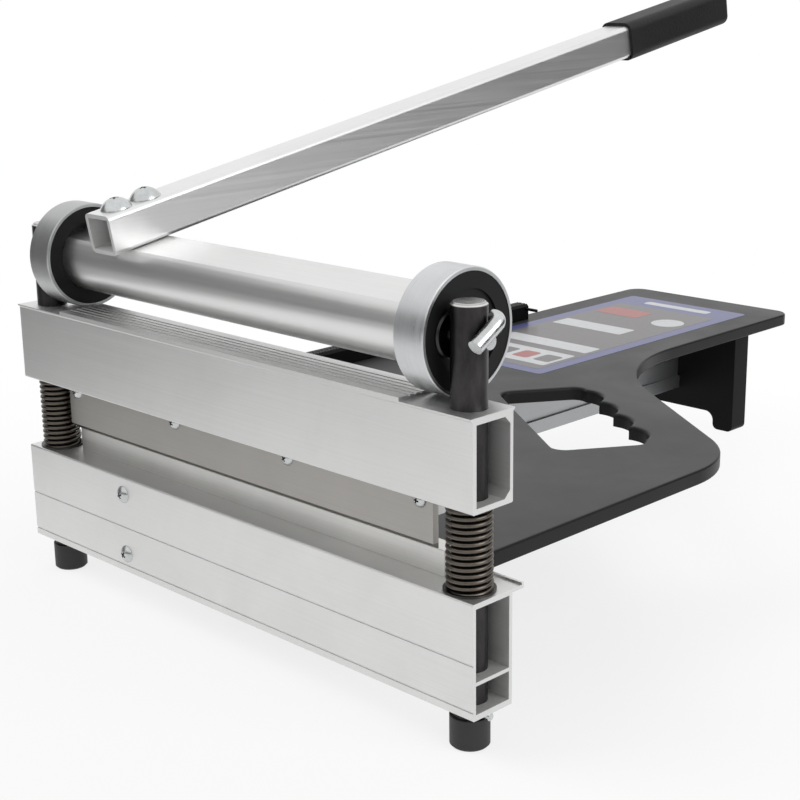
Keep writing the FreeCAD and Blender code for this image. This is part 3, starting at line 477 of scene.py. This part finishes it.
def postFinish(name, node):
    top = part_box(node)[1].z
    centre = middleOf(node)
    material, shader, tone = drawnParts(name, postLook["colour"], postLook["roughness"],
                                        postLook["lines"], streak=postLook["streak"],
                                        cloud=postLook["cloud"], metallic=postLook["metallic"])
    cap = rangeOf(material, *heightOn(material), top - postLook["topFrom"],
                  top - postLook["topTo"], 0, 1)
    rings = addNode(material, "ShaderNodeTexWave", wave_type="RINGS", rings_direction="Z",
                    Scale=postLook["rings"], Distortion=postLook["ringWarp"])
    mapping = placeOn(material, shift=(-centre.x, -centre.y, 0))
    link(material, mapping, "Vector", rings, "Vector")
    bright = rampOf(material, rings, "Fac", [(0.0, postLook["ringDark"]),
                                             (1.0, postLook["ringLight"])])
    whole = mixOf(material, "MIX", (cap, "Result"), (tone, 2), (bright, "Color"))
    link(material, whole, 2, shader, "Base Color")
    return material


postMetal = {end: postFinish(end + "PostSteel", end + "_post") for end in ("near", "far")}

mouldGrain = {"detail": 3, "rough": 0.6, "patchSize": 12, "patchRough": 0.6, "patchWarp": 0.4,
              "lift": 0.4, "polished": 0.05, "worn": 0.07}


def moulded(name, colour, roughness, grain, size, depth, specular=0.5, wear=0.25):
    # moulded plastic or rubber: a fine grain, and a patchy sheen where it has been handled
    material, shader = newFinish(name, colour, 0.0, roughness, specular)
    fine = noiseOn(material, placeOn(material), size, mouldGrain["detail"], mouldGrain["rough"])
    patches = noiseOn(material, placeOn(material), mouldGrain["patchSize"],
                      rough=mouldGrain["patchRough"], warp=mouldGrain["patchWarp"])
    worn = tuple(value * (1 - wear) for value in colour)
    clean = tuple(value * (1 + wear * mouldGrain["lift"]) for value in colour)
    tone = rampOf(material, patches, "Fac", [(0.3, worn), (0.7, clean)])
    link(material, tone, "Color", shader, "Base Color")
    sheen = rangeOf(material, patches, "Fac", 0.3, 0.7, roughness - mouldGrain["polished"],
                    roughness + mouldGrain["worn"])
    link(material, sheen, "Result", shader, "Roughness")
    bumpOn(material, shader, fine, "Fac", grain, depth)
    return material


# name, colour, roughness, then the grain's strength, scale and depth, specular and wear
tablePlastic = moulded("tablePlastic", (0.036, 0.036, 0.038), 0.46, 0.25, 900, 0.00012, 0.34,
                       0.10)
# a darker copy of the table's plastic for its sides and rounds: painted shade
tableSideShade = moulded("tableSideShade", (0.010, 0.010, 0.0105), 0.38, 0.2, 900, 0.0001,
                           0.20, 0.15)
blackPlastic = moulded("blackPlastic", (0.005, 0.005, 0.005), 0.42, 0.3, 700, 0.00012, 0.10)
discPlastic = moulded("discPlastic", (0.010, 0.010, 0.0105), 0.50, 0.35, 600, 0.00014, 0.22)
capRubber = moulded("capRubber", (0.035, 0.035, 0.036), 0.55, 0.4, 500, 0.00016, 0.4)
gripRubber = moulded("gripRubber", (0.006, 0.006, 0.006), 0.52, 0.7, 420, 0.0003, 0.32)
print("finishes ready")


# the table's edges: a large round at the hand hole, and a small one at the outline
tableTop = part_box("table_top")[1].z
handHole = {"x": 0.0435, "y": 0.257, "turn": -34, "long": 0.086, "wide": 0.048, "half": 0.0315,
            "pitch": 0.032, "round": 0.0026, "segments": 5}
cusp = {"along": 0.0006, "across": 0.0004, "merge": 0.0009}   # between two finger hollows
tableEdge = {"thick": 0.0096, "round": 0.0010, "segments": 3, "sharpAbove": 30,
             "level": 0.0001, "topSlope": 0.85}


def inHole(point):
    # a point in the hand hole's own directions: lengthwise and across
    turn = math.radians(handHole["turn"])
    dx, dy = point.x - handHole["x"], point.y - handHole["y"]
    return dx * math.cos(turn) + dy * math.sin(turn), -dx * math.sin(turn) + dy * math.cos(turn)


def byHole(first, second):
    lengthwise, across = inHole((first + second) / 2)
    return abs(lengthwise) < handHole["long"] and abs(across) < handHole["wide"]


def atHeight(first, second, height):
    return max(abs(first.z - height), abs(second.z - height)) < tableEdge["level"]


def roundWhere(piece, wanted, radius, segments):
    # rounds the sharp edges whose two ends pass the test
    pickEdges(piece, wanted, tableEdge["sharpAbove"])
    bpy.ops.mesh.bevel(offset=radius, segments=segments, affect="EDGES", clamp_overlap=False)
    leaveEdit()


def roundTable(piece):
    # the points between the finger hollows become single corners, so that no edge there is
    # too short for the round
    editNone(piece, "VERT")
    leaveEdit()
    for point in piece.data.vertices:
        lengthwise, across = inHole(point.co)
        alongGap = min(abs(lengthwise - step * handHole["pitch"]) for step in (-1, 0, 1))
        acrossGap = abs(across - handHole["half"])
        point.select = alongGap < cusp["along"] and acrossGap < cusp["across"]
    bpy.ops.object.mode_set(mode="EDIT")
    bpy.ops.mesh.remove_doubles(threshold=cusp["merge"])
    leaveEdit()
    underside = tableTop - tableEdge["thick"]

    def atHole(first, second):
        return byHole(first, second) and atHeight(first, second, tableTop)

    def atOutline(first, second):
        onRim = atHeight(first, second, tableTop) or atHeight(first, second, underside)
        return onRim and not byHole(first, second)

    roundWhere(piece, atHole, handHole["round"], handHole["segments"])
    roundWhere(piece, atOutline, tableEdge["round"], tableEdge["segments"])


# CAD pieces that keep their shape and get softened edges
softEdge = {"merge": 0.000002, "flatWithin": 0.6, "segments": 3, "sharpAbove": 30,
            "smooth": 40, "weight": 90}


def softCopy(node, finish, radius):
    # a copy of the node with its sharp edges rounded
    source = frame["nodes"][node]
    piece = source.copy()
    piece.data = source.data.copy()
    piece.parent = None
    # the copy no longer counts as a CAD node
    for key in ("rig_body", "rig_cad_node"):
        if key in piece:
            del piece[key]
    bpy.context.scene.collection.objects.link(piece)
    editAll(piece)
    bpy.ops.mesh.remove_doubles(threshold=softEdge["merge"])
    bpy.ops.mesh.dissolve_limited(angle_limit=math.radians(softEdge["flatWithin"]))
    leaveEdit()
    if radius:
        edge = piece.modifiers.new("edge", "BEVEL")
        edge.width = radius
        edge.segments = softEdge["segments"]
        edge.limit_method = "ANGLE"
        edge.angle_limit = math.radians(softEdge["sharpAbove"])
        edge.miter_outer = "MITER_ARC"
        applyAll(piece)
    else:
        roundTable(piece)
    smooth(piece, softEdge["smooth"])
    # broad faces keep their own flat shading beside narrow rounds
    flat = piece.modifiers.new("flat", "WEIGHTED_NORMAL")
    flat.keep_sharp = True
    flat.weight = softEdge["weight"]
    applyAll(piece)
    finishPiece(piece, node + "_piece", node, finish, standIn=True)
    print("softened", node, len(piece.data.polygons))
    return piece


edgeRounds = {
    # node: (finish, edge radius, or None for the table's own rounds)
    "lower_beam": (beamMetal, 0.0004), "upper_beam": (beamMetal, 0.0004),
    "anvil_bar": (anvilMetal, 0.0003), "blade_holder": (holderMetal, 0.0004),
    "table_rail": (railMetal, 0.0005), "table_leg": (blackPlastic, 0.0008),
    "lever_bar": (leverMetal, 0.0003), "fence": (blackPlastic, 0.0004),
    "table_top": (tablePlastic, None),
}
softened = {node: softCopy(node, *values) for node, values in edgeRounds.items()}


def secondFinish(piece, finish, wanted):
    # the faces that pass the test get another finish
    piece.data.materials.append(finish)
    for face in piece.data.polygons:
        face.material_index = 1 if wanted(face) else 0
    print("second finish", piece.name, sum(face.material_index for face in piece.data.polygons))


# the beams' insides, where a face looks at its own beam a short way off, get a darker, duller,
# less metallic copy of the aluminium: painted shade
hollow = {"start": 0.0002, "reach": 0.07, "endward": 0.7}


def insideBeam(beam, face):
    start = face.center + face.normal * hollow["start"]
    found, place = beam.ray_cast(start, face.normal)[:2]
    return found and (place - start).length < hollow["reach"]


for node in ("lower_beam", "upper_beam"):
    beam = softened[node]
    secondFinish(beam, beamBore, lambda face: abs(face.normal.x) < hollow["endward"]
                 and insideBeam(beam, face))

# the lever's inside gets a duller, less metallic copy of its aluminium too: painted shade
leverBore = {"half": 0.0115, "endward": 0.9}
leverMiddle = middleOf("lever_bar")
leverSlope = math.tan(math.radians(leverPitch))


def insideLever(face):
    # distance from the lever's own middle line, sideways and upwards
    across = abs(face.center.x - leverMiddle.x)
    lift = face.center.z - leverMiddle.z - (face.center.y - leverMiddle.y) * leverSlope
    inside = across < leverBore["half"] and abs(lift) < leverBore["half"]
    return inside and abs(face.normal.y) < leverBore["endward"]


secondFinish(softened["lever_bar"], leverBoreShade, insideLever)

# the table's sides and rounds get a darker copy of its plastic: painted shade
secondFinish(softened["table_top"], tableSideShade,
             lambda face: face.normal.z <= tableEdge["topSlope"])

kept = {
    "near_post": postMetal["near"], "far_post": postMetal["far"],
    "near_foot_cap": capRubber, "far_foot_cap": capRubber,
    "near_cross_pin": zincMetal, "far_cross_pin": zincMetal,
    "near_spring_washer": hubMetal, "far_spring_washer": hubMetal,
    "near_pivot_pin": zincMetal, "far_pivot_pin": zincMetal,
    "near_ring": ringMetal, "far_ring": shadedRingMetal,
    "near_disc": discPlastic, "far_disc": discPlastic,
    "near_hub": hubMetal, "far_hub": hubMetal,
    "cam_tube": tubeMetal, "grip": gripRubber, "blade": bladeMetal,
    "fence_pointer": blackPlastic,
}
keptSmooth = 35
for node, finish in kept.items():
    piece = frame["nodes"][node]
    piece.data.materials.clear()
    piece.data.materials.append(finish)
    smooth(piece, keptSmooth)
print("plain CAD pieces finished")


# springs: round wire with ground ends
spring = {"wire": 0.0024, "turns": 13.5, "spareTurns": 2, "stepsPerTurn": 40, "wireSides": 14,
          "merge": 0.00001, "smooth": 40}


def makeSpring(end):
    low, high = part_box(end + "_spring")
    centre = (low + high) / 2
    coilRadius = (high.x - low.x) / 2 - spring["wire"] / 2
    tall = high.z - low.z
    pitch = tall / spring["turns"]
    allTurns = spring["turns"] + spring["spareTurns"]
    bpy.ops.mesh.primitive_circle_add(vertices=spring["wireSides"], radius=spring["wire"] / 2,
                                      location=(0, 0, 0), rotation=(math.pi / 2, 0, 0))
    piece = bpy.context.object
    settle(piece)
    piece.data.transform(Matrix.Translation((coilRadius, 0, low.z - pitch)))
    coil = piece.modifiers.new("coil", "SCREW")
    coil.axis = "Z"
    coil.angle = math.tau * allTurns
    coil.screw_offset = tall + spring["spareTurns"] * pitch
    coil.iterations = 1
    coil.steps = int(spring["stepsPerTurn"] * allTurns)
    coil.render_steps = coil.steps
    coil.use_normal_calculate = True
    applyAll(piece)
    # the spare turns are cut off level with the seats
    for height, side in ((low.z, -1), (high.z, 1)):
        editAll(piece)
        bpy.ops.mesh.bisect(plane_co=(0, 0, height), plane_no=(0, 0, side), use_fill=True,
                            clear_outer=True)
        leaveEdit()
    editAll(piece)
    bpy.ops.mesh.remove_doubles(threshold=spring["merge"])
    bpy.ops.mesh.normals_make_consistent(inside=False)
    leaveEdit()
    piece.location = (centre.x, centre.y, 0)
    settle(piece)
    smooth(piece, spring["smooth"])
    piece.name = end + "_spring_coil"
    piece.data.materials.append(springMetal)
    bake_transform(piece)
    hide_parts(end + "_spring")
    print("spring", piece.name, len(piece.data.polygons))


for end in ("near", "far"):
    makeSpring(end)


# screws with a domed head and a cross recess, whose parts follow the head's size
screws = {
    "frame": {"head": 0.0115, "rise": 0.0032, "shank": 0.0055, "recess": 0.52},
    "blade": {"head": 0.0095, "rise": 0.0032, "shank": 0.0055, "recess": 0.50},
    "holder": {"head": 0.0080, "rise": 0.0032, "shank": 0.0048, "recess": 0.52},
    "lever": {"head": 0.020, "rise": 0.0065, "shank": 0.008, "recess": 0.36},
}
screwShape = {"sides": 40, "skirt": 0.04, "skirtReach": 0.05, "slot": 0.24, "recessDepth": 0.62,
              "tipLength": 0.55, "tipWidth": 0.7, "rim": 0.012, "rimSegments": 2, "rimAngle": 35,
              "smooth": 40, "recessReach": 0.36, "underDome": 0.07}


def domeRadius(head, rise):
    return (head * head / 4 + rise * rise) / (2 * rise)


def crossCutter(reach, width, depth):
    # a tapered cross on Z, half above the origin and half below it
    blades = []
    for turn in (0, 90):
        bpy.ops.mesh.primitive_cube_add(size=1, location=(0, 0, 0))
        blade = bpy.context.object
        blade.scale = (reach, width, depth * 2)
        settle(blade)
        pickFaces(blade, lambda face: face.normal.z < -0.5)
        bpy.ops.transform.resize(value=(screwShape["tipLength"], screwShape["tipWidth"], 1))
        leaveEdit()
        blade.rotation_euler = (0, 0, math.radians(turn))
        settle(blade)
        blades.append(blade)
    first, second = blades
    union = first.modifiers.new("join", "BOOLEAN")
    union.operation = "UNION"
    union.object = second
    applyAll(first)
    bpy.data.objects.remove(second)
    return first


def panScrew(head, rise, shank, recess, length):
    # the head's seat is at the origin, with the dome above and the shank below
    ball = domeRadius(head, rise)
    skirt = rise * screwShape["skirt"]
    bpy.ops.mesh.primitive_uv_sphere_add(segments=screwShape["sides"],
                                         ring_count=screwShape["sides"], radius=ball,
                                         location=(0, 0, rise - ball))
    piece = bpy.context.object
    settle(piece)
    editAll(piece)
    bpy.ops.mesh.bisect(plane_co=(0, 0, skirt), plane_no=(0, 0, -1), use_fill=False,
                        clear_outer=True)
    leaveEdit()
    reach = rise * screwShape["skirtReach"]
    pickEdges(piece, lambda first, second: max(first.z, second.z) < reach)
    bpy.ops.mesh.extrude_region_move(TRANSFORM_OT_translate={"value": (0, 0, -skirt)})
    bpy.ops.mesh.extrude_region_move()
    bpy.ops.transform.resize(value=(shank / head, shank / head, 1))
    bpy.ops.mesh.extrude_region_move(TRANSFORM_OT_translate={"value": (0, 0, -length)})
    bpy.ops.mesh.edge_face_add()
    bpy.ops.mesh.select_all(action="SELECT")
    bpy.ops.mesh.normals_make_consistent(inside=False)
    leaveEdit()
    cutter = crossCutter(head * recess, head * recess * screwShape["slot"],
                         rise * screwShape["recessDepth"])
    cutter.location = (0, 0, rise)
    settle(cutter)
    cross = piece.modifiers.new("recess", "BOOLEAN")
    cross.operation = "DIFFERENCE"
    cross.object = cutter
    applyAll(piece)
    bpy.data.objects.remove(cutter)
    rim = piece.modifiers.new("rim", "BEVEL")
    rim.width = head * screwShape["rim"]
    rim.segments = screwShape["rimSegments"]
    rim.limit_method = "ANGLE"
    rim.angle_limit = math.radians(screwShape["rimAngle"])
    applyAll(piece)
    smooth(piece, screwShape["smooth"])
    return piece


def inRecess(face, head, rise):
    # a face of the cross lies under the dome's surface, near the screw's axis; these faces get
    # the painted recess shade
    reach = math.hypot(face.center.x, face.center.y)
    if reach > head * screwShape["recessReach"] or face.center.z < 0:
        return False
    ball = domeRadius(head, rise)
    dome = rise - ball + math.sqrt(ball * ball - reach * reach)
    return face.center.z < dome - rise * screwShape["underDome"]


screwMasters = {}


def placeScrew(kind, length, node, direction, seat, spin):
    # screws of one kind and length are modelled once and copied
    values = screws[kind]
    key = (kind, round(length, 6))
    if key not in screwMasters:
        screwMasters[key] = panScrew(**values, length=length)
    master = screwMasters[key]
    piece = master.copy()
    piece.data = master.data.copy()
    bpy.context.scene.collection.objects.link(piece)
    recessFaces = [face.index for face in piece.data.polygons
                   if inRecess(face, values["head"], values["rise"])]
    turn = Vector((0, 0, 1)).rotation_difference(Vector(direction)).to_matrix().to_4x4()
    spun = turn @ Matrix.Rotation(math.radians(spin), 4, "Z")
    piece.matrix_world = Matrix.Translation(seat) @ spun
    settle(piece)
    finishPiece(piece, node + "_piece", node, zincMetal, standIn=True)
    # the recess faces get the darker zinc, as painted shade
    piece.data.materials.append(recessShadeMetal)
    for number in recessFaces:
        piece.data.polygons[number].material_index = 1


facing = {
    # node: (kind, direction of the head, spin)
    "beam_screw_upper": ("frame", (0, -1, 0), 24), "beam_screw_lower": ("frame", (0, -1, 0), 58),
    "leg_screw_upper": ("frame", (0, 1, 0), 12), "leg_screw_lower": ("frame", (0, 1, 0), 40),
    "table_screw_left": ("frame", (0, 0, -1), 30), "table_screw_right": ("frame", (0, 0, -1), 70),
    "blade_screw_1": ("blade", (0, -1, 0), 15), "blade_screw_2": ("blade", (0, -1, 0), 62),
    "blade_screw_3": ("blade", (0, -1, 0), 35), "blade_screw_4": ("blade", (0, -1, 0), 80),
    "holder_screw_1": ("holder", (0, 0, -1), 20), "holder_screw_2": ("holder", (0, 0, -1), 50),
    "holder_screw_3": ("holder", (0, 0, -1), 75),
}
for node, (kind, direction, spin) in facing.items():
    low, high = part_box(node)
    way = Vector(direction)
    whole = abs((high - low).dot(way))
    rise = screws[kind]["rise"]
    seat = middleOf(node) + way * (whole / 2 - rise)
    placeScrew(kind, whole - rise, node, way, seat, spin)
print("screws ready")

# the lever's two bolts stand on a flat of the tube and go through the lever
leverBolts = {"lever_bolt_1": {"station": -0.012, "spin": 55},
              "lever_bolt_2": {"station": 0.010, "spin": 90}}
leverSeat = {"back": 0.012, "tubeFlat": 0.0166, "lever": 0.025, "boltLength": 0.0336}
tilt = math.radians(leverPitch)
along = Vector((0, math.cos(tilt), math.sin(tilt)))
above = Vector((0, -math.sin(tilt), math.cos(tilt)))
camMiddle = Vector((leverMiddle.x, leverSeat["back"], middleOf("near_ring").z))
leverFace = camMiddle + above * (leverSeat["tubeFlat"] + leverSeat["lever"])
for node, bolt in leverBolts.items():
    placeScrew("lever", leverSeat["boltLength"], node, above,
               leverFace + along * bolt["station"], bolt["spin"])
for master in screwMasters.values():
    bpy.data.objects.remove(master)
print("lever bolts ready")


# the panel on the table: thin plates with rounded corners, stacked by their layer numbers
panel = {"left": -0.168, "right": -0.045, "thick": 0.00012, "step": 0.00006,
         "cornerSegments": 6, "gloss": 0.30, "mottle": 240, "dark": 0.93, "light": 1.05,
         "bump": 0.05, "depth": 0.00005}
plates = {
    # name: (inset at the left, inset at the right, near end, far end, layer, ink, corner)
    "panel_base": (0, 0, 0.330, 0.610, 0, "blue", 0.004),
    "panel_field": (0.0110, 0.0110, 0.341, 0.577, 1, "deep", 0.002),
    "panel_strip_wide": (0.0154, 0.0154, 0.352, 0.392, 2, "pale", 0.002),
    "panel_strip_low": (0.0154, 0.0154, 0.404, 0.424, 2, "pale", 0.002),
    "panel_strip_high": (0.0154, 0.0352, 0.474, 0.496, 2, "pale", 0.002),
    "panel_block": (0.0154, 0.0636, 0.534, 0.560, 2, "red", 0.002),
}
squares = {"inks": ("red", "deep", "red", "deep"), "inset": 0.022, "pitch": 0.022,
           "wide": 0.016, "near": 0.362, "far": 0.382, "layer": 3, "corner": 0.003}
panelDisc = {"inset": 0.0308, "y": 0.536, "radius": 0.014, "hollow": 0.008, "hollowDepth": 0.4,
             "sides": 48, "layer": 2, "ink": "pale", "smooth": 40}
panelTail = {"inset": 0.0275, "near": 0.588, "far": 0.598, "layer": 1, "ink": "pale",
             "corner": 0.003}


def printInk(name, colour):
    # printed film: a faint mottle in the ink under a smooth gloss
    material, shader = newFinish(name, colour, 0.0, panel["gloss"])
    mottle = noiseOn(material, placeOn(material), panel["mottle"], 3)
    dark = tuple(value * panel["dark"] for value in colour)
    light = tuple(min(1, value * panel["light"]) for value in colour)
    tone = rampOf(material, mottle, "Fac", [(0.3, dark), (0.7, light)])
    link(material, tone, "Color", shader, "Base Color")
    bumpOn(material, shader, mottle, "Fac", panel["bump"], panel["depth"])
    return material


inks = {"blue": printInk("blueInk", (0.085, 0.095, 0.25)),
        "deep": printInk("greyInk", (0.13, 0.12, 0.12)),
        "pale": printInk("paleInk", (0.60, 0.61, 0.63)),
        "red": printInk("redInk", (0.36, 0.085, 0.075))}


def flatPlate(name, left, right, near, far, layer, ink, corner):
    bottom = tableTop + panel["step"] * layer
    top = bottom + panel["thick"]
    centre = ((left + right) / 2, (near + far) / 2, (bottom + top) / 2)
    bpy.ops.mesh.primitive_cube_add(size=1, location=centre)
    plate = bpy.context.object
    plate.scale = (right - left, far - near, top - bottom)
    settle(plate)
    pickEdges(plate, lambda first, second: abs(first.z - second.z) > (top - bottom) / 2)
    bpy.ops.mesh.bevel(offset=corner, segments=panel["cornerSegments"], affect="EDGES")
    leaveEdit()
    finishPiece(plate, name, "table_top", inks[ink])


for name, (leftInset, rightInset, near, far, layer, ink, corner) in plates.items():
    flatPlate(name, panel["left"] + leftInset, panel["right"] - rightInset, near, far, layer, ink,
              corner)

for number, ink in enumerate(squares["inks"]):
    start = panel["left"] + squares["inset"] + number * squares["pitch"]
    flatPlate("panel_square_%d" % (number + 1), start, start + squares["wide"], squares["near"],
              squares["far"], squares["layer"], ink, squares["corner"])

bottom = tableTop + panel["step"] * panelDisc["layer"]
bpy.ops.mesh.primitive_cylinder_add(vertices=panelDisc["sides"], radius=panelDisc["radius"],
                                    depth=panel["thick"],
                                    location=(panel["right"] - panelDisc["inset"],
                                              panelDisc["y"], bottom + panel["thick"] / 2))
disc = bpy.context.object
settle(disc)
pickFaces(disc, lambda face: face.normal.z > 0.5)
bpy.ops.mesh.inset(thickness=panelDisc["radius"] - panelDisc["hollow"])
sink = -panel["thick"] * panelDisc["hollowDepth"]
bpy.ops.mesh.extrude_region_move(TRANSFORM_OT_translate={"value": (0, 0, sink)})
leaveEdit()
smooth(disc, panelDisc["smooth"])
finishPiece(disc, "panel_disc", "table_top", inks[panelDisc["ink"]])

flatPlate("panel_tail", panel["left"] + panelTail["inset"], panel["right"] - panelTail["inset"],
          panelTail["near"], panelTail["far"], panelTail["layer"], panelTail["ink"],
          panelTail["corner"])
print("table panel ready")


# ribs across the fence's top, a little sunk in it
fenceRibs = {"pitch": 0.0030, "wide": 0.0014, "sunk": 0.0005, "tall": 0.0008, "margin": 0.004,
             "share": 0.66}
fenceLow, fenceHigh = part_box("fence")
bpy.ops.mesh.primitive_cube_add(size=1, location=(middleOf("fence").x,
                                                  fenceLow.y + fenceRibs["margin"],
                                                  fenceHigh.z - fenceRibs["sunk"]))
rib = bpy.context.object
rib.scale = ((fenceHigh.x - fenceLow.x) * fenceRibs["share"], fenceRibs["wide"],
             fenceRibs["tall"])
settle(rib)
row = rib.modifiers.new("row", "ARRAY")
row.use_relative_offset = False
row.use_constant_offset = True
row.constant_offset_displace = (0, fenceRibs["pitch"], 0)
span = fenceHigh.y - fenceLow.y - 2 * fenceRibs["margin"]
row.count = int(span / fenceRibs["pitch"]) + 1
applyAll(rib)
finishPiece(rib, "fence_ribs", "fence", blackPlastic)
print("fence ribs ready")
